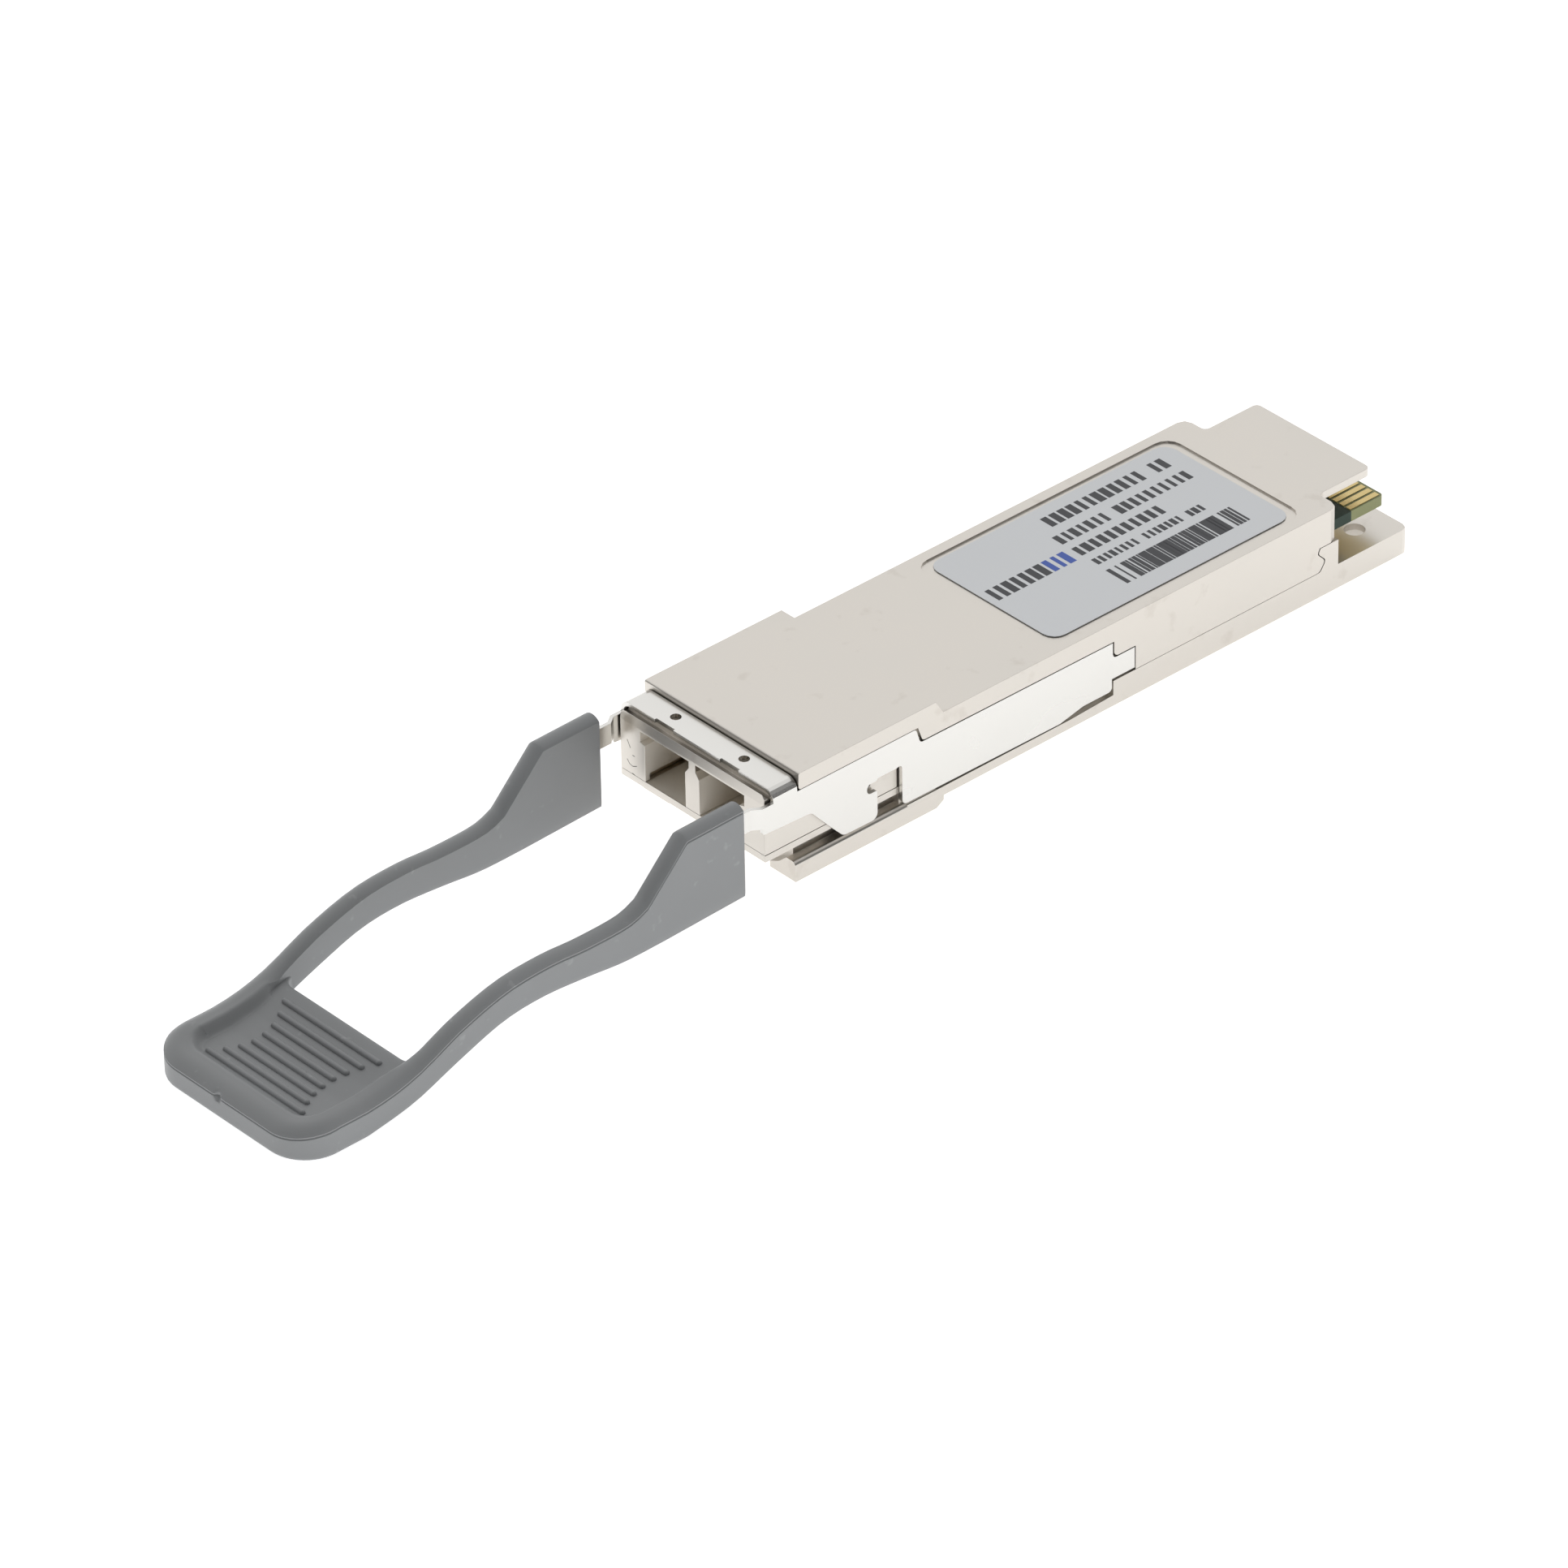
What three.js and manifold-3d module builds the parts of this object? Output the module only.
// Duplex optical transceiver module with a sliding pull-tab release.
// Millimetres, +X towards the card edge, +Y across the module, +Z up.
// Measures are taken from the module's own datum: x = 0 at the positive stop where the nose meets the
// body, y = 0 on the centre line, z = 0 on the underside. The last lines move that datum so that the
// exported group stands with its origin at the centre of its base.

import * as THREE from 'three';
import { mergeVertices } from 'three/addons/utils/BufferGeometryUtils.js';
import Module from 'manifold-3d';

const wasm = await Module();
wasm.setup();

// Body: the part that goes into the host cage.
const BODY_HALF_WIDTH = 9.175;
const BODY_HEIGHT = 8.5;
const BODY_END = 44.25;
const LEDGE_END = 52.4;
const LEDGE_HEIGHT = 2.8;
const LEDGE_HOLE_X = 48.87;
const LEDGE_HOLE_Y = 6.39;
const LEDGE_HOLE_RADIUS = 0.92;
const LEDGE_COUNTERBORE_RADIUS = 1.7;
const LEDGE_COUNTERBORE_TOP = 2.2;
const SEAM_HEIGHT = 2.87;
const EDGE_CHAMFER = 0.48;
const CAVITY_HALF_WIDTH = 7.9;
const CAVITY_FLOOR = 1.0;
const CAVITY_ROOF = 7.4;
const CAVITY_START = -4.5;
const CAVITY_END = 43.4;

// Nose: the part that stays outside the cage.
const NOSE_START = -15.65;
const NOSE_HEIGHT = 9.83;
const NOSE_HALF_WIDTH = 9.225;
const NOSE_SKIRT = 8.26;
const RAIL_START = -16.1;
const RAIL_BOTTOM = -0.45;
const RAIL_TOP = 1.42;

// Rear tongue of the upper shell, over the card edge.
const TONGUE_END = 50.24;
const TONGUE_HALF_WIDTH = 6.75;
const TONGUE_THICKNESS = 0.75;
const TONGUE_ROOT = 8;

// Label on the upper shell, in a shallow recess.
const RECESS_DEPTH = 0.16;
const RECESS_START = 12.6;
const RECESS_END = 41.3;
const RECESS_HALF_WIDTH = 8.1;
const LABEL_START = 13.6;
const LABEL_END = 40.5;
const LABEL_HALF_WIDTH = 7.6;
const LABEL_THICKNESS = 0.09;
const LABEL_CORNER = 1.3;

// Label under the lower shell.
const UNDER_LABEL_START = 10;
const UNDER_LABEL_END = 33;
const UNDER_LABEL_HALF_WIDTH = 5.9;
const UNDER_RECESS_MARGIN = 0.2;
const UNDER_RECESS_DEPTH = 0.15;

// Recesses in both sides for the slider's arms.
const RECESS_FACE = 8.72;
const ARM_INNER = 8.8;
const ARM_OUTER = 9.17;
const ARM_RECESS_END = 18.75;
const ARM_POCKET_END = 21.25;
const INNER_SEAM = 4.92;

// Receptacle for two plugs.
const RECEPTACLE_START = -18.85;
const RECEPTACLE_END = -4.6;
const RECEPTACLE_HALF_WIDTH = 8.65;
const RECEPTACLE_BOTTOM = 3.12;
const RECEPTACLE_TOP = 8.85;
const PORT_PITCH = 6.25;
const PORT_INNER = 0.85;
const PORT_OUTER = 5.7;
const PORT_TOP = 7.75;
const LEAN_START = 7.95;
const LIP_TOP = 8.8;
const LIP_GROOVE_FLOOR = 8.35;
const PORT_DEPTH_END = -9.0;
const AXIS_HEIGHT = 5.3;

// Optical subassemblies.
const BARREL_RADIUS = 1.45;
const BARREL_TIP = -14.5;
const FERRULE_BORE = 0.66;
const FERRULE_RADIUS = 0.62;
const FLANGE_RADIUS = 2.0;
const FLANGE_FRONT = -7.5;
const GROOVE_FRONT = -6.7;
const GROOVE_REAR = -5.9;
const GROOVE_RADIUS = 1.5;
const BARREL_REAR = -5.1;
const BARREL_CHAMFER = 0.3;
const BORE_LEAD_IN = 0.2;
const CAN_RADIUS = 1.7;

// Slider: stamped sheet.
const SHEET = 0.37;
const STRIP_TOP = 9.3;
const STRIP_START = -18.3;
const STRIP_END = -15.75;
const STRIP_HOLE_X = -16.85;
const STRIP_HOLE_Y = 4.1;
const STRIP_HOLE_RADIUS = 0.47;
const BEND_RADIUS = 1.0;
const TONGUE_INNER = 8.25;
const STEEL_TONGUE_END = -25.5;
const LUG_START = -7.3;
const LUG_END = -5.0;
const LUG_BOTTOM = 5.4;

// Return springs: 0.2 mm wire, so that the coils don't touch at full pull.
const SPRING_Y = 7.6;
const SPRING_Z = 5.58;
const SPRING_RADIUS = 0.78;
const WIRE_RADIUS = 0.1;
const SPRING_START = -12.1;
const SPRING_END = -7.5;
const SPRING_TURNS = 7;

// Pull tab.
const TAB_HALF_WIDTH = 9.5;
const TAB_OPENING = 7.8;
const TAB_ARM_END = -21.6;
const TAB_FRONT = -68.0;
const TAB_BOTTOM = -3.05;
const TAB_TOP = 9.65;
const PAD_END = -55.2;
const RIM_INNER_X = -65.2;
const RIM_INNER_Y = 7.2;
const RIB_COUNT = 8;
const RIB_START = -64.6;
const RIB_PITCH = 1.12;

// Circuit board and what is on it.
const BOARD_START = 0.6;
const BOARD_END = 50.9;
const BOARD_HALF_WIDTH = 7.65;
const BOARD_BOTTOM = 4.95;
const BOARD_TOP = 5.95;
const CONTACT_COUNT = 19;
const CONTACT_PITCH = 0.8;
const CONTACT_WIDTH = 0.54;
const CONTACT_START = 47.5;
const CONTACT_END = 50.6;
const CONTACT_THICKNESS = 0.05;
const REST_GAP = 0.02;

// Packages on the board: x, y, length, width, height.
const CHIPS = {
  laser_driver_chip: [7.5, 3.2, 4, 4, 0.8],
  receiver_chip: [7.5, -3.2, 4, 4, 0.8],
  retimer_chip: [18, 0, 7, 7, 0.9],
  microcontroller: [28, 2.2, 5, 5, 0.8],
};
const CRYSTAL = [28, -3.6, 3.2, 2.5, 0.75];
const SMALL_PART_PLACES = [34, 35.8, 41, 42.6];

// Screws, from below, through the board into the upper shell.
const SCREW_PLACES = [[4, -6.1], [4, 6.1], [38.5, -6.1], [38.5, 6.1]];
const BOSS_RADIUS = 1.75;
const SCREW_HOLE = 0.8;
const THREAD_HOLE = 0.68;
const HEAD_POCKET = 1.3;
const HEAD_POCKET_TOP = 1.3;
const SCREW_HEAD_RADIUS = 1.2;
const SCREW_HEAD_BOTTOM = 0.2;
const SCREW_HEAD_TOP = 1.25;
const SHANK_RADIUS = 0.62;
const DRIVE_LENGTH = 1.6;
const DRIVE_WIDTH = 0.32;

// ---- Shapes -------------------------------------------------------------------------------------

function solid(geometry) {
  const bare = geometry.index ? geometry.toNonIndexed() : geometry.clone();
  bare.deleteAttribute('normal');
  bare.deleteAttribute('uv');
  const merged = mergeVertices(bare, 1e-4);
  return new wasm.Manifold(new wasm.Mesh({
    numProp: 3,
    vertProperties: new Float32Array(merged.attributes.position.array),
    triVerts: new Uint32Array(merged.index.array),
  }));
}

function join(...pieces) {
  return pieces.reduce((whole, piece) => whole.add(piece));
}

function cut(whole, ...tools) {
  return tools.reduce((left, tool) => left.subtract(tool), whole);
}

// An outline through corners [u, v, radius]; a corner with a radius becomes an arc.
function outline(corners, arcSteps = 4) {
  const points = [];
  corners.forEach(([u, v, radius = 0], index) => {
    const corner = new THREE.Vector2(u, v);
    if (radius === 0) {
      points.push(corner);
      return;
    }
    const [beforeU, beforeV] = corners.at(index - 1);
    const [afterU, afterV] = corners[(index + 1) % corners.length];
    const before = new THREE.Vector2(beforeU, beforeV).sub(corner).normalize();
    const after = new THREE.Vector2(afterU, afterV).sub(corner).normalize();
    const half = Math.acos(before.dot(after)) / 2;
    const bisector = before.clone().add(after).normalize();
    const centre = corner.clone().addScaledVector(bisector, radius / Math.sin(half));
    const start = corner.clone().addScaledVector(before, radius / Math.tan(half)).sub(centre);
    const end = corner.clone().addScaledVector(after, radius / Math.tan(half)).sub(centre);
    const sweep = Math.atan2(start.cross(end), start.dot(end));
    for (let step = 0; step <= arcSteps; step += 1) {
      const arm = start.clone().rotateAround(new THREE.Vector2(), sweep * step / arcSteps);
      points.push(arm.add(centre));
    }
  });
  return new THREE.Shape(points);
}

function extrude(shape, depth) {
  return new THREE.ExtrudeGeometry(shape, { depth, bevelEnabled: false, steps: 1, curveSegments: 8 });
}

// Outline in X and Z, from low y to high y.
function sidePlate(shape, low, high) {
  return solid(extrude(shape, high - low).rotateX(Math.PI / 2).translate(0, high, 0));
}

// Outline in X and Y, from low z to high z.
function planPlate(shape, low, high) {
  return solid(extrude(shape, high - low).translate(0, 0, low));
}

// Outline in Y and Z, from low x to high x.
function crossPlate(shape, low, high) {
  const basis = new THREE.Matrix4().makeBasis(
    new THREE.Vector3(0, 1, 0),
    new THREE.Vector3(0, 0, 1),
    new THREE.Vector3(1, 0, 0),
  );
  return solid(extrude(shape, high - low).applyMatrix4(basis).translate(low, 0, 0));
}

function block(x0, x1, y0, y1, z0, z1) {
  const box = new THREE.BoxGeometry(x1 - x0, y1 - y0, z1 - z0);
  return solid(box.translate((x0 + x1) / 2, (y0 + y1) / 2, (z0 + z1) / 2));
}

function uprightRod(radius, z0, z1, x, y, sides = 20) {
  const rod = new THREE.CylinderGeometry(radius, radius, z1 - z0, sides).rotateX(Math.PI / 2);
  return solid(rod.translate(x, y, (z0 + z1) / 2));
}

function lengthwiseRod(radius, x0, x1, y, z, sides = 24) {
  const rod = new THREE.CylinderGeometry(radius, radius, x1 - x0, sides).rotateZ(Math.PI / 2);
  return solid(rod.translate((x0 + x1) / 2, y, z));
}

// The same piece on both sides: make(side) is called with -1 and 1.
function bothSides(make) {
  return join(make(-1), make(1));
}

function sideBlock(side, x0, x1, inner, outer, z0, z1) {
  return block(x0, x1, Math.min(side * inner, side * outer), Math.max(side * inner, side * outer), z0, z1);
}

function sidePlateOn(side, shape, inner, outer) {
  return sidePlate(shape, Math.min(side * inner, side * outer), Math.max(side * inner, side * outer));
}

// What comes off both rear corners in plan: size along each edge, middle where the round is fullest.
function cornerTrim(end, size, middle) {
  return bothSides((side) => planPlate(outline([
    [end - size, side * 12], [end - size, side * BODY_HALF_WIDTH],
    [end - middle, side * (BODY_HALF_WIDTH - middle)], [end, side * (BODY_HALF_WIDTH - size)],
    [end + 1, side * (BODY_HALF_WIDTH - size)], [end + 1, side * 12],
  ]), -1, 20));
}

// ---- Upper shell: die-cast zinc, nickel plated -----------------------------------------------------

function upperShell() {
  // The side skin, whose lower edge follows the slider's arm, the arm's pocket and the shells' seam.
  const skin = sidePlate(outline([
    [0, BODY_HEIGHT], [-0.85, NOSE_HEIGHT - 0.02], [-1.2, 8.3], [-2.75, 8.22], [-2.25, 6.8, 0.35],
    [18.85, 6.66], [18.85, 5.2, 0.5], [ARM_POCKET_END, 5.2], [ARM_POCKET_END, SEAM_HEIGHT + 0.03],
    [42.1, SEAM_HEIGHT + 0.03, 0.5], [42.75, 3.85, 0.4], [41.85, 4.75, 0.3], [42.1, 5.27],
    [BODY_END, 5.27], [BODY_END, BODY_HEIGHT],
  ]), -BODY_HALF_WIDTH, BODY_HALF_WIDTH);
  const nose = sidePlate(outline([
    [NOSE_START, NOSE_SKIRT, 0.25], [NOSE_START, NOSE_HEIGHT, 0.2], [-0.85, NOSE_HEIGHT],
    [0, BODY_HEIGHT], [0, 7.6], [-2.75, NOSE_SKIRT],
  ]), -NOSE_HALF_WIDTH, NOSE_HALF_WIDTH);
  const innerWalls = block(CAVITY_START, ARM_POCKET_END + 1, -RECESS_FACE, RECESS_FACE, INNER_SEAM, 8);
  const receptacleSpace = block(-30, CAVITY_START, -8.78, 8.78, -1, RECEPTACLE_TOP + 0.07);
  const cavity = block(
    CAVITY_START - 0.1, CAVITY_END, -CAVITY_HALF_WIDTH, CAVITY_HALF_WIDTH, -1, CAVITY_ROOF);
  const boardSlot = block(CAVITY_END - 1, 60, -CAVITY_HALF_WIDTH, CAVITY_HALF_WIDTH, -1, BOARD_TOP + 0.1);
  const tongue = planPlate(outline([
    [BODY_END - 1, -TONGUE_ROOT], [BODY_END, -TONGUE_ROOT],
    [BODY_END, -TONGUE_HALF_WIDTH, 0.5],
    [TONGUE_END, -TONGUE_HALF_WIDTH, 0.5], [TONGUE_END, TONGUE_HALF_WIDTH, 0.5],
    [BODY_END, TONGUE_HALF_WIDTH, 0.5], [BODY_END, TONGUE_ROOT], [BODY_END - 1, TONGUE_ROOT],
  ]), BODY_HEIGHT - TONGUE_THICKNESS, BODY_HEIGHT);
  const recess = planPlate(outline([
    [RECESS_START, -RECESS_HALF_WIDTH, 1.5], [RECESS_END, -RECESS_HALF_WIDTH, 1.5],
    [RECESS_END, RECESS_HALF_WIDTH, 1.5], [RECESS_START, RECESS_HALF_WIDTH, 1.5],
  ]), BODY_HEIGHT - RECESS_DEPTH, BODY_HEIGHT + 1);
  const rearCorners = cornerTrim(BODY_END, 0.9, 0.25);
  const bosses = SCREW_PLACES.map(([x, y]) => cut(
    uprightRod(BOSS_RADIUS, BOARD_TOP + REST_GAP, CAVITY_ROOF + 0.2, x, y),
    uprightRod(THREAD_HOLE, BOARD_TOP - 0.5, CAVITY_ROOF - 0.1, x, y, 12),
  ));
  const walls = cut(join(skin, nose, innerWalls), receptacleSpace, cavity, boardSlot, rearCorners);
  return cut(join(walls, tongue, ...bosses), recess);
}

// ---- Lower shell: die-cast zinc, with nose rails and rear ledge ------------------------------------

function railSection(side) {
  return outline([
    [side * 6.1, RAIL_BOTTOM], [side * 9.2, RAIL_BOTTOM], [side * 9.2, RAIL_TOP, 0.45],
    [side * 8.1, RAIL_TOP, 0.3], [side * 7.2, 0.62], [side * 6.1, 0.1],
  ]);
}

function lowerShell() {
  const base = sidePlate(outline([
    [-1, 0], [LEDGE_END, 0, 1.1], [LEDGE_END, LEDGE_HEIGHT], [BODY_END, LEDGE_HEIGHT],
    [BODY_END, 5.22], [42.2, 5.22], [41.95, 4.75, 0.3], [42.85, 3.85, 0.4],
    [42.2, SEAM_HEIGHT, 0.5], [ARM_RECESS_END, SEAM_HEIGHT], [ARM_RECESS_END, 1.5], [14, 1.3], [-1, 1.3],
  ]), -BODY_HALF_WIDTH, BODY_HALF_WIDTH);
  const walls = block(
    CAVITY_START, CAVITY_END + 0.85, -RECESS_FACE + 0.02, RECESS_FACE - 0.02, 0.5, INNER_SEAM - 0.04);
  const hidden = block(ARM_POCKET_END - 0.03, CAVITY_END + 2, -20, 20, SEAM_HEIGHT, 20);
  const innerLip = block(
    ARM_POCKET_END, CAVITY_END, -CAVITY_HALF_WIDTH + 0.05, CAVITY_HALF_WIDTH - 0.05, 0.5, 4.3);
  const cavity = block(CAVITY_START + 0.6, CAVITY_END, -7.0, 7.0, CAVITY_FLOOR, 20);
  const frontCavity = block(
    CAVITY_START, ARM_POCKET_END, -CAVITY_HALF_WIDTH, CAVITY_HALF_WIDTH, CAVITY_FLOOR, 20);
  const ear = sidePlate(outline([
    [42.2, SEAM_HEIGHT - 0.5], [BODY_END, SEAM_HEIGHT - 0.5], [BODY_END, 5.22], [42.2, 5.22],
    [41.95, 4.75, 0.3], [42.85, 3.85, 0.4],
  ]), -BODY_HALF_WIDTH, BODY_HALF_WIDTH);
  const boardSlot = block(
    CAVITY_END - 2, 60, -CAVITY_HALF_WIDTH, CAVITY_HALF_WIDTH, BOARD_BOTTOM - REST_GAP, 20);
  const chamfers = bothSides((side) => crossPlate(outline([
    [side * (BODY_HALF_WIDTH - EDGE_CHAMFER), -0.01], [side * 10, -0.01], [side * 10, EDGE_CHAMFER + 0.1],
    [side * BODY_HALF_WIDTH, EDGE_CHAMFER],
  ]), -2, 60));
  const noseCore = block(
    -15.2, CAVITY_START + 0.1, -CAVITY_HALF_WIDTH, CAVITY_HALF_WIDTH, RAIL_BOTTOM, 2.6);
  const nosePlate = block(
    RECEPTACLE_START + 0.03, CAVITY_START + 0.6, -RECEPTACLE_HALF_WIDTH, RECEPTACLE_HALF_WIDTH, 2.46, 3.08);
  const rails = bothSides((side) => crossPlate(railSection(side), RAIL_START, -0.75));
  const step = sidePlate(outline([
    [-4, RAIL_BOTTOM], [-0.75, RAIL_BOTTOM], [0, 0], [0, 1.3], [-4, 1.3],
  ]), -9.17, 9.17);
  const holes = bothSides((side) => join(
    uprightRod(LEDGE_HOLE_RADIUS, -1, 5, LEDGE_HOLE_X, side * LEDGE_HOLE_Y),
    uprightRod(LEDGE_COUNTERBORE_RADIUS, -1, LEDGE_COUNTERBORE_TOP, LEDGE_HOLE_X, side * LEDGE_HOLE_Y),
  ));
  const rearCorners = cornerTrim(LEDGE_END, 0.7, 0.2);
  const bosses = SCREW_PLACES.map(([x, y]) =>
    uprightRod(BOSS_RADIUS, 0.5, BOARD_BOTTOM - REST_GAP, x, y));
  const screwHoles = SCREW_PLACES.map(([x, y]) => join(
    uprightRod(SCREW_HOLE, -1, 8, x, y, 16),
    uprightRod(HEAD_POCKET, -1, HEAD_POCKET_TOP, x, y, 20),
  ));
  const recessHalfWidth = UNDER_LABEL_HALF_WIDTH + UNDER_RECESS_MARGIN;
  const labelRecess = block(
    UNDER_LABEL_START - UNDER_RECESS_MARGIN, UNDER_LABEL_END + UNDER_RECESS_MARGIN,
    -recessHalfWidth, recessHalfWidth, -1, UNDER_RECESS_DEPTH);
  const box = join(cut(base, chamfers), cut(walls, hidden), cut(innerLip, cavity), cut(ear, cavity));
  const shell = cut(join(box, step), cavity, frontCavity, boardSlot, rearCorners, holes);
  return cut(join(shell, noseCore, nosePlate, rails, ...bosses), ...screwHoles, labelRecess);
}

// ---- Receptacle block ------------------------------------------------------------------------------

function receptacle() {
  const body = crossPlate(outline([
    [-RECEPTACLE_HALF_WIDTH, RECEPTACLE_BOTTOM], [RECEPTACLE_HALF_WIDTH, RECEPTACLE_BOTTOM],
    [RECEPTACLE_HALF_WIDTH, 8.45], [8.25, RECEPTACLE_TOP],
    [-8.25, RECEPTACLE_TOP], [-RECEPTACLE_HALF_WIDTH, 8.45],
  ]), RECEPTACLE_START, RECEPTACLE_END);
  const ports = bothSides((side) => crossPlate(outline([
    [side * PORT_INNER, 0], [side * PORT_OUTER, 0], [side * PORT_OUTER, 6.6],
    [side * 6.25, 6.75], [side * 6.25, PORT_TOP], [side * 0.4, PORT_TOP],
    [side * 0.4, 7.1], [side * PORT_INNER, 6.5],
  ]), RECEPTACLE_START - 1, PORT_DEPTH_END));
  const sideSlots = bothSides((side) =>
    sideBlock(side, RECEPTACLE_START + 0.5, PORT_DEPTH_END, 5.5, 6.1, 2, 3.75));
  // The face leans back a little above the ports, and a groove behind its lip runs under the strip.
  const lean = sidePlate(outline([
    [RECEPTACLE_START - 1, LEAN_START], [RECEPTACLE_START, LEAN_START],
    [RECEPTACLE_START + 0.12, LIP_TOP], [RECEPTACLE_START + 0.5, LIP_GROOVE_FLOOR],
    [RECEPTACLE_START + 0.9, LIP_GROOVE_FLOOR], [RECEPTACLE_START + 0.9, 10],
    [RECEPTACLE_START - 1, 10],
  ]), -10, 10);
  const pinHoles = bothSides((side) =>
    uprightRod(STRIP_HOLE_RADIUS + 0.03, PORT_TOP - 0.2, 10, STRIP_HOLE_X, side * STRIP_HOLE_Y, 16));
  const barrelHoles = bothSides((side) =>
    lengthwiseRod(BARREL_RADIUS + 0.05, -10, -7, side * PORT_PITCH / 2, AXIS_HEIGHT));
  const rearPocket = block(-7.6, 0, -6.3, 6.3, 0, 7.75);
  const springPockets = bothSides((side) =>
    sideBlock(side, SPRING_START - 0.1, SPRING_END, 6.62, 9, 4.6, 6.6));
  const lugSlots = bothSides((side) =>
    sideBlock(side, LUG_START - 3, 0, 6.62, 9, LUG_BOTTOM - 0.08, LUG_BOTTOM + SHEET + 0.08));
  return cut(
    body, ports, sideSlots, lean, pinHoles, barrelHoles, rearPocket, springPockets, lugSlots);
}

// ---- Slider bracket: one stamped and bent sheet ----------------------------------------------------

function sliderArm(side) {
  const plate = sidePlateOn(side, outline([
    [21.15, 3.12], [21.15, 5.1], [18.7, 5.1, 0.4], [18.7, 6.58], [-2.5, 6.7, 0.35], [-2.95, 8.16, 0.35],
    [-19.45, 8.16], [-19.45, 5.65, 0.2], [-14.3, 5.4, 0.8], [-12.0, 2.8], [-10.9, 1.62, 0.8],
    [-7.2, 1.56, 0.6], [-7.2, 4.27, 0.15], [-8.3, 4.27, 0.4], [-8.3, 5.21, 0.4], [-7.2, 5.21, 0.1],
    [-7.2, 5.45], [-4.5, 5.45, 0.3], [-4.5, 1.56, 0.5], [12.8, 1.4, 1.5], [15.4, 1.95, 1.5],
    [18.6, 1.95, 0.4], [18.6, 3.12],
  ]), ARM_INNER, ARM_OUTER);
  const lug = sideBlock(side, LUG_START, LUG_END, 6.75, ARM_OUTER, LUG_BOTTOM, LUG_BOTTOM + SHEET);
  // The front tongue jogs inward, then runs forward into the pull tab.
  const jog = planPlate(outline([
    [-19.2, side * ARM_OUTER], [-19.45, side * ARM_OUTER], [-20.2, side * (TONGUE_INNER + SHEET)],
    [STEEL_TONGUE_END, side * (TONGUE_INNER + SHEET)], [STEEL_TONGUE_END, side * TONGUE_INNER],
    [-20.15, side * TONGUE_INNER], [-19.4, side * ARM_INNER], [-19.2, side * ARM_INNER],
  ]), 6.2, 8.16);
  return join(plate, lug, jog);
}

function sliderBracket() {
  const strip = crossPlate(outline([
    [-ARM_OUTER, 7.9], [-ARM_INNER, 7.9], [-ARM_INNER, STRIP_TOP - SHEET, BEND_RADIUS - SHEET],
    [ARM_INNER, STRIP_TOP - SHEET, BEND_RADIUS - SHEET], [ARM_INNER, 7.9], [ARM_OUTER, 7.9],
    [ARM_OUTER, STRIP_TOP, BEND_RADIUS], [-ARM_OUTER, STRIP_TOP, BEND_RADIUS],
  ], 5), STRIP_START, STRIP_END);
  const holes = bothSides((side) =>
    uprightRod(STRIP_HOLE_RADIUS, 8, 10, STRIP_HOLE_X, side * STRIP_HOLE_Y, 16));
  const notches = bothSides((side) => block(
    STRIP_START - 1, STRIP_START + 0.2, side * 3.9 - 1.1, side * 3.9 + 1.1, 8, 10));
  return join(cut(strip, holes, notches), sliderArm(-1), sliderArm(1));
}

// ---- Return spring ---------------------------------------------------------------------------------

class Helix extends THREE.Curve {
  getPoint(t, target = new THREE.Vector3()) {
    const angle = t * SPRING_TURNS * 2 * Math.PI;
    const reach = SPRING_END - SPRING_START - 2 * WIRE_RADIUS - 0.1;
    return target.set(
      SPRING_START + WIRE_RADIUS + 0.05 + reach * t,
      SPRING_RADIUS * Math.cos(angle),
      SPRING_RADIUS * Math.sin(angle),
    );
  }
}

function returnSpring(side) {
  const wire = new THREE.Shape();
  wire.absarc(0, 0, WIRE_RADIUS, 0, 2 * Math.PI);
  const coil = new THREE.ExtrudeGeometry(wire, {
    extrudePath: new Helix(), steps: SPRING_TURNS * 10, curveSegments: 3, bevelEnabled: false,
  });
  return solid(coil.translate(0, side * SPRING_Y, SPRING_Z));
}

// ---- Pull tab: moulded plastic ---------------------------------------------------------------------

// A smooth run through the given points, as corners without a radius.
function smoothRun(places) {
  const curve = new THREE.SplineCurve(places.map(([x, z]) => new THREE.Vector2(x, z)));
  return curve.getPoints(3 * places.length).map((point) => [point.x, point.y]);
}

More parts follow.
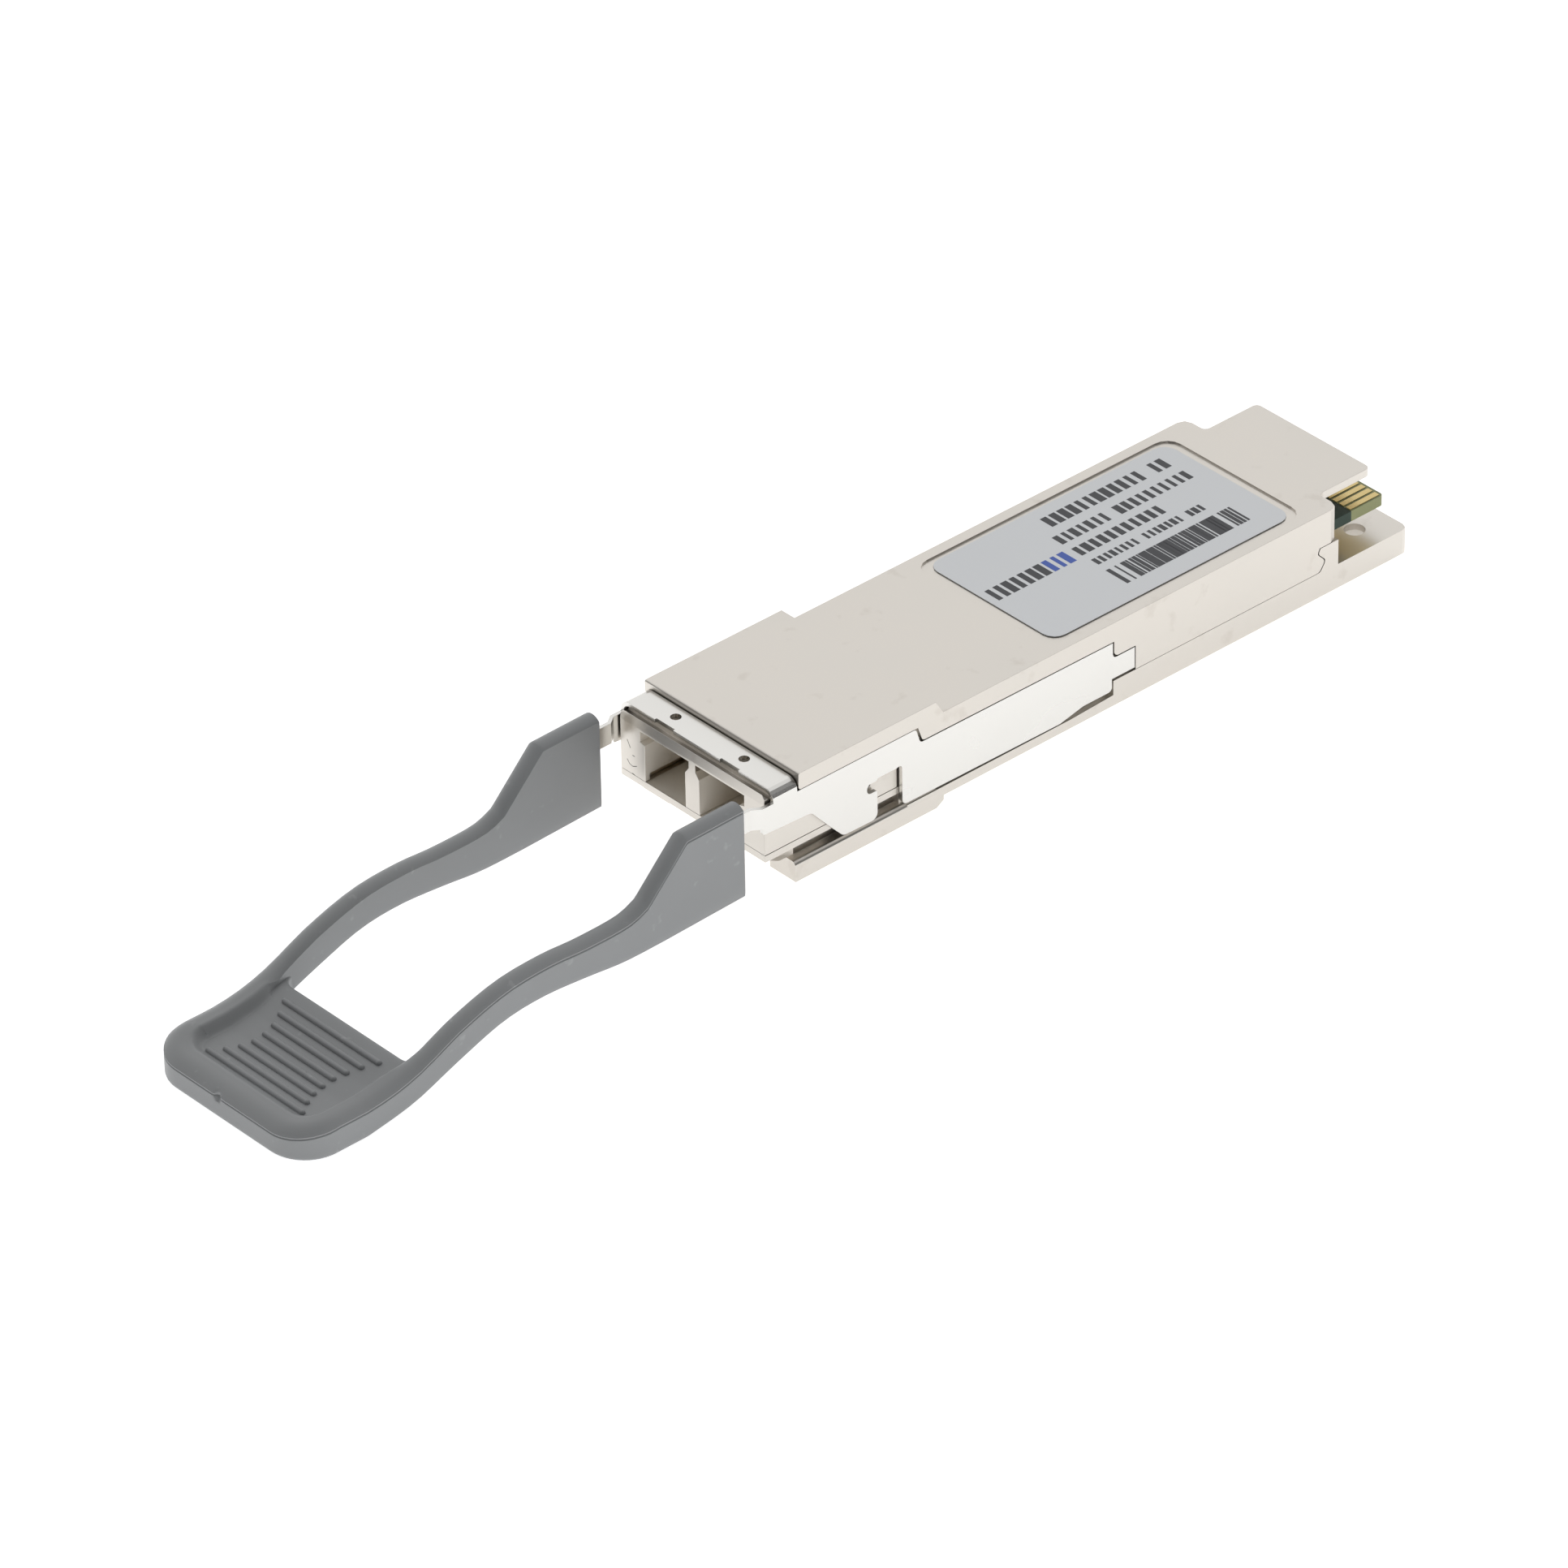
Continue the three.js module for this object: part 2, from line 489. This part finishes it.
function pullTab() {
  const side = sidePlate(outline([
    [TAB_ARM_END, 0.9], [TAB_ARM_END, TAB_TOP, 0.2], [-27.7, TAB_TOP - 0.1, 0.3],
    ...smoothRun([[-31.9, 5.25], [-34.0, 4.5], [-38.3, 4.4], [-42.0, 4.6], [-46.5, 4.3], [-51.2, 2.95],
      [-55.6, 1.05], [-60.2, 0.1], [-64.6, 0.0], [-67.2, -0.4]]),
    [TAB_FRONT, -1.0, 0.3], [TAB_FRONT, TAB_BOTTOM, 0.7], [-61.5, TAB_BOTTOM],
    ...smoothRun([[-61.0, TAB_BOTTOM + 0.02], [-56.4, -2.2], [-51.8, -0.5], [-47.2, 1.0], [-43.0, 1.4],
      [-38.6, 1.1], [-34.4, 0.65], [-30.0, 0.65]]),
  ]), -TAB_HALF_WIDTH, TAB_HALF_WIDTH);
  const plan = planPlate(outline([
    [TAB_FRONT, -TAB_HALF_WIDTH, 3.7], [0, -TAB_HALF_WIDTH],
    [0, TAB_HALF_WIDTH], [TAB_FRONT, TAB_HALF_WIDTH, 3.7],
  ], 8), TAB_BOTTOM - 1, TAB_TOP + 1);
  const opening = planPlate(outline([
    [PAD_END, -TAB_OPENING, 1.2], [0, -TAB_OPENING], [0, TAB_OPENING], [PAD_END, TAB_OPENING, 1.2],
  ]), TAB_BOTTOM - 1, TAB_TOP + 1);
  const padTop = [[-70, -0.95], [-61.5, -0.95], [-59.0, -0.6], [-57.0, -0.1], [-55.0, 0.35], [-50, 2.2]];
  const padSpace = sidePlate(outline([...padTop, [-50, 20], [-70, 20]]), -RIM_INNER_Y, RIM_INNER_Y);
  const padPlan = planPlate(outline([
    [RIM_INNER_X, -RIM_INNER_Y, 1.6], [-50, -RIM_INNER_Y],
    [-50, RIM_INNER_Y], [RIM_INNER_X, RIM_INNER_Y, 1.6],
  ]), -5, 20);
  const ribs = Array.from({ length: RIB_COUNT }, (_, index) => {
    const x = RIB_START + RIB_PITCH * index;
    const fromMiddle = 2 * index / (RIB_COUNT - 1) - 1;
    const halfLength = 4.1 + 1.6 * fromMiddle ** 2;
    const z = -0.95 + 1.05 * Math.max(0, (x + 61.5) / 4.7) ** 1.5;
    return block(x - 0.22, x + 0.22, -halfLength, halfLength, z - 0.6, z + 0.28);
  });
  const sockets = bothSides((which) => sideBlock(
    which, STEEL_TONGUE_END - 0.1, 0, TONGUE_INNER - 0.1, TONGUE_INNER + SHEET + 0.1, 6.1, 8.26));
  const body = cut(side.intersect(plan), opening, padSpace.intersect(padPlan), sockets);
  return join(body, ...ribs);
}

// ---- Optical subassemblies -------------------------------------------------------------------------

// A turned sleeve: profile in radius and x, closed on itself, so that its bore stays open.
function turned(profile, y, z) {
  const points = profile.map(([radius, x]) => new THREE.Vector2(radius, x));
  const lathe = new THREE.LatheGeometry([...points, points[0]], 20);
  return solid(lathe.rotateZ(-Math.PI / 2).translate(0, y, z));
}

function subassemblyBarrel(side) {
  return turned([
    [FERRULE_BORE, BARREL_TIP + BORE_LEAD_IN], [FERRULE_BORE + BORE_LEAD_IN, BARREL_TIP],
    [BARREL_RADIUS - BARREL_CHAMFER, BARREL_TIP], [BARREL_RADIUS, BARREL_TIP + BARREL_CHAMFER],
    [BARREL_RADIUS, FLANGE_FRONT], [FLANGE_RADIUS, FLANGE_FRONT],
    [FLANGE_RADIUS, GROOVE_FRONT], [GROOVE_RADIUS, GROOVE_FRONT],
    [GROOVE_RADIUS, GROOVE_REAR], [FLANGE_RADIUS, GROOVE_REAR],
    [FLANGE_RADIUS, BARREL_REAR], [FERRULE_BORE, BARREL_REAR],
  ], side * PORT_PITCH / 2, AXIS_HEIGHT);
}

function headerCan(side) {
  return join(
    lengthwiseRod(FLANGE_RADIUS - 0.05, -5.05, -4.55, side * PORT_PITCH / 2, AXIS_HEIGHT),
    lengthwiseRod(CAN_RADIUS, -4.6, -1.7, side * PORT_PITCH / 2, AXIS_HEIGHT),
  );
}

function ferruleStub(side) {
  return lengthwiseRod(FERRULE_RADIUS, -10.2, -5.15, side * PORT_PITCH / 2, AXIS_HEIGHT, 16);
}

function clampPlate() {
  const slotRadius = GROOVE_RADIUS + 0.06;
  const plate = block(GROOVE_FRONT + 0.05, GROOVE_REAR - 0.05, -6.1, 6.1, 3.3, 7.55);
  const notches = bothSides((side) => {
    const y = side * PORT_PITCH / 2;
    return join(
      lengthwiseRod(slotRadius, -8, -4, y, AXIS_HEIGHT),
      block(-8, -4, y - slotRadius, y + slotRadius, 0, AXIS_HEIGHT),
    );
  });
  return cut(plate, notches);
}

// A flexible circuit: stands behind the can, then bends down on to the board.
function flexCircuit(side) {
  const thickness = 0.12;
  return sidePlate(outline([
    [-1.6, 6.9], [-1.6, BOARD_TOP + REST_GAP, 0.6], [3, BOARD_TOP + REST_GAP],
    [3, BOARD_TOP + REST_GAP + thickness], [-1.6 + thickness, BOARD_TOP + REST_GAP + thickness, 0.48],
    [-1.6 + thickness, 6.9],
  ]), side * PORT_PITCH / 2 - 1.6, side * PORT_PITCH / 2 + 1.6);
}

// ---- Circuit board ---------------------------------------------------------------------------------

function circuitBoard() {
  const board = planPlate(outline([
    [BOARD_START, -BOARD_HALF_WIDTH], [BOARD_END, -BOARD_HALF_WIDTH, 0.3], [BOARD_END, BOARD_HALF_WIDTH, 0.3],
    [BOARD_START, BOARD_HALF_WIDTH],
  ]), BOARD_BOTTOM, BOARD_TOP);
  return cut(board, ...SCREW_PLACES.map(([x, y]) => uprightRod(SCREW_HOLE, 4, 7, x, y, 16)));
}

// A row of edge contacts, joined behind the fingers by the plating bar.
function contactRow(low) {
  const high = low + CONTACT_THICKNESS;
  const half = (CONTACT_PITCH * (CONTACT_COUNT - 1) + CONTACT_WIDTH) / 2;
  const bar = block(CONTACT_START - 0.25, CONTACT_START + 0.05, -half, half, low, high);
  const fingers = Array.from({ length: CONTACT_COUNT }, (_, index) => {
    const edge = index * CONTACT_PITCH - half;
    return block(CONTACT_START, CONTACT_END, edge, edge + CONTACT_WIDTH, low, high);
  });
  return join(bar, ...fingers);
}

function chip([x, y, length, width, height]) {
  const low = BOARD_TOP + REST_GAP;
  return block(x - length / 2, x + length / 2, y - width / 2, y + width / 2, low, low + height);
}

// A pad between a chip and the upper shell's inner face.
function thermalPad([x, y, length, width, chipHeight]) {
  const low = BOARD_TOP + REST_GAP + chipHeight + 0.01;
  const halfLength = length / 2 - 0.2;
  const halfWidth = width / 2 - 0.2;
  return block(x - halfLength, x + halfLength, y - halfWidth, y + halfWidth, low, CAVITY_ROOF - 0.02);
}

// ---- Small pieces ----------------------------------------------------------------------------------

function screw([x, y]) {
  const head = uprightRod(SCREW_HEAD_RADIUS, SCREW_HEAD_BOTTOM, SCREW_HEAD_TOP, x, y, 18);
  const shank = uprightRod(SHANK_RADIUS, SCREW_HEAD_TOP - 0.05, CAVITY_ROOF - 0.4, x, y, 12);
  const long = DRIVE_LENGTH / 2;
  const wide = DRIVE_WIDTH / 2;
  const drive = join(
    block(x - long, x + long, y - wide, y + wide, 0, 0.7),
    block(x - wide, x + wide, y - long, y + long, 0, 0.7),
  );
  return cut(join(head, shank), drive);
}

function topLabel() {
  const low = BODY_HEIGHT - RECESS_DEPTH + REST_GAP;
  return planPlate(outline([
    [LABEL_START, -LABEL_HALF_WIDTH, LABEL_CORNER], [LABEL_END, -LABEL_HALF_WIDTH, LABEL_CORNER],
    [LABEL_END, LABEL_HALF_WIDTH, LABEL_CORNER], [LABEL_START, LABEL_HALF_WIDTH, LABEL_CORNER],
  ]), low, low + LABEL_THICKNESS);
}

function undersideLabel() {
  const half = UNDER_LABEL_HALF_WIDTH;
  return planPlate(outline([
    [UNDER_LABEL_START, -half, 0.8], [UNDER_LABEL_END, -half, 0.8],
    [UNDER_LABEL_END, half, 0.8], [UNDER_LABEL_START, half, 0.8],
  ]), UNDER_RECESS_DEPTH - REST_GAP - LABEL_THICKNESS, UNDER_RECESS_DEPTH - REST_GAP);
}

function gasket() {
  const ring = block(-4.4, -3.75, -7.82, 7.82, 3.15, CAVITY_ROOF - 0.03);
  return cut(ring, block(-6, -2, -7.2, 7.2, 3.6, 7.05));
}

// ---- Materials and assembly ------------------------------------------------------------------------

function finish(color, roughness, metalness) {
  return new THREE.MeshStandardMaterial({ color, roughness, metalness });
}

const part = new THREE.Group();
const datum = new THREE.Group();
part.add(datum);

function place(name, piece, material) {
  const mesh = piece.getMesh();
  const geometry = new THREE.BufferGeometry();
  geometry.setAttribute('position', new THREE.BufferAttribute(new Float32Array(mesh.vertProperties), 3));
  geometry.setIndex(new THREE.BufferAttribute(new Uint32Array(mesh.triVerts), 1));
  geometry.computeVertexNormals();
  const node = new THREE.Mesh(geometry, material);
  node.name = name;
  datum.add(node);
}

place('upper_shell', upperShell(), finish(0xd0cac3, 0.38, 0.9));
place('lower_shell', lowerShell(), finish(0xd4cfc8, 0.38, 0.9));
place('lc_receptacle', receptacle(), finish(0xcfcac2, 0.38, 0.9));
place('slider_bracket', sliderBracket(), finish(0xe2e1dd, 0.2, 1));
place('pull_tab', pullTab(), finish(0x7b7c7d, 0.55, 0));
place('left_return_spring', returnSpring(1), finish(0xc9c9c7, 0.25, 1));
place('right_return_spring', returnSpring(-1), finish(0xc9c9c7, 0.25, 1));
place('transmitter_barrel', subassemblyBarrel(1), finish(0xc8a75a, 0.3, 1));
place('receiver_barrel', subassemblyBarrel(-1), finish(0xc8a75a, 0.3, 1));
place('transmitter_ferrule', ferruleStub(1), finish(0xf1efe8, 0.25, 0));
place('receiver_ferrule', ferruleStub(-1), finish(0xf1efe8, 0.25, 0));
place('transmitter_can', headerCan(1), finish(0xb9b7b0, 0.3, 1));
place('receiver_can', headerCan(-1), finish(0xb9b7b0, 0.3, 1));
place('subassembly_clamp', clampPlate(), finish(0xbfbfbc, 0.35, 1));
place('transmitter_flex', flexCircuit(1), finish(0xb5762c, 0.45, 0));
place('receiver_flex', flexCircuit(-1), finish(0xb5762c, 0.45, 0));
place('main_circuit_board', circuitBoard(), finish(0x2f4a3c, 0.5, 0));
place('edge_contacts_top', contactRow(BOARD_TOP + 0.005), finish(0xd2be8c, 0.25, 1));
const lowerContacts = contactRow(BOARD_BOTTOM - CONTACT_THICKNESS - 0.005);
place('edge_contacts_bottom', lowerContacts, finish(0xd2be8c, 0.25, 1));
for (const [name, size] of Object.entries(CHIPS)) {
  place(name, chip(size), finish(0x25272a, 0.5, 0));
}
place('crystal', chip(CRYSTAL), finish(0xc6c5bf, 0.3, 1));
place('driver_thermal_pad', thermalPad(CHIPS.laser_driver_chip), finish(0x9fb3c4, 0.8, 0));
place('receiver_thermal_pad', thermalPad(CHIPS.receiver_chip), finish(0x9fb3c4, 0.8, 0));
place('retimer_thermal_pad', thermalPad(CHIPS.retimer_chip), finish(0x9fb3c4, 0.8, 0));
for (const [index, x] of SMALL_PART_PLACES.entries()) {
  place(`capacitor_${index + 1}`, chip([x, 3.4, 0.9, 1.7, 0.8]), finish(0xb59a78, 0.45, 0));
  place(`inductor_${index + 1}`, chip([x, -2.8, 1.2, 2.2, 0.9]), finish(0x4a4a4c, 0.5, 0));
}
for (const [index, spot] of SCREW_PLACES.entries()) {
  place(`screw_${index + 1}`, screw(spot), finish(0xb4b4b2, 0.3, 1));
}
place('emi_gasket', gasket(), finish(0x4d4f52, 0.8, 0));
place('top_label', topLabel(), finish(0xc6c8ca, 0.45, 0));
place('underside_label', undersideLabel(), finish(0xd9dadb, 0.45, 0));

// The origin goes to the middle of the base.
datum.position.set(-(TAB_FRONT + LEDGE_END) / 2, 0, -TAB_BOTTOM);

export default part;
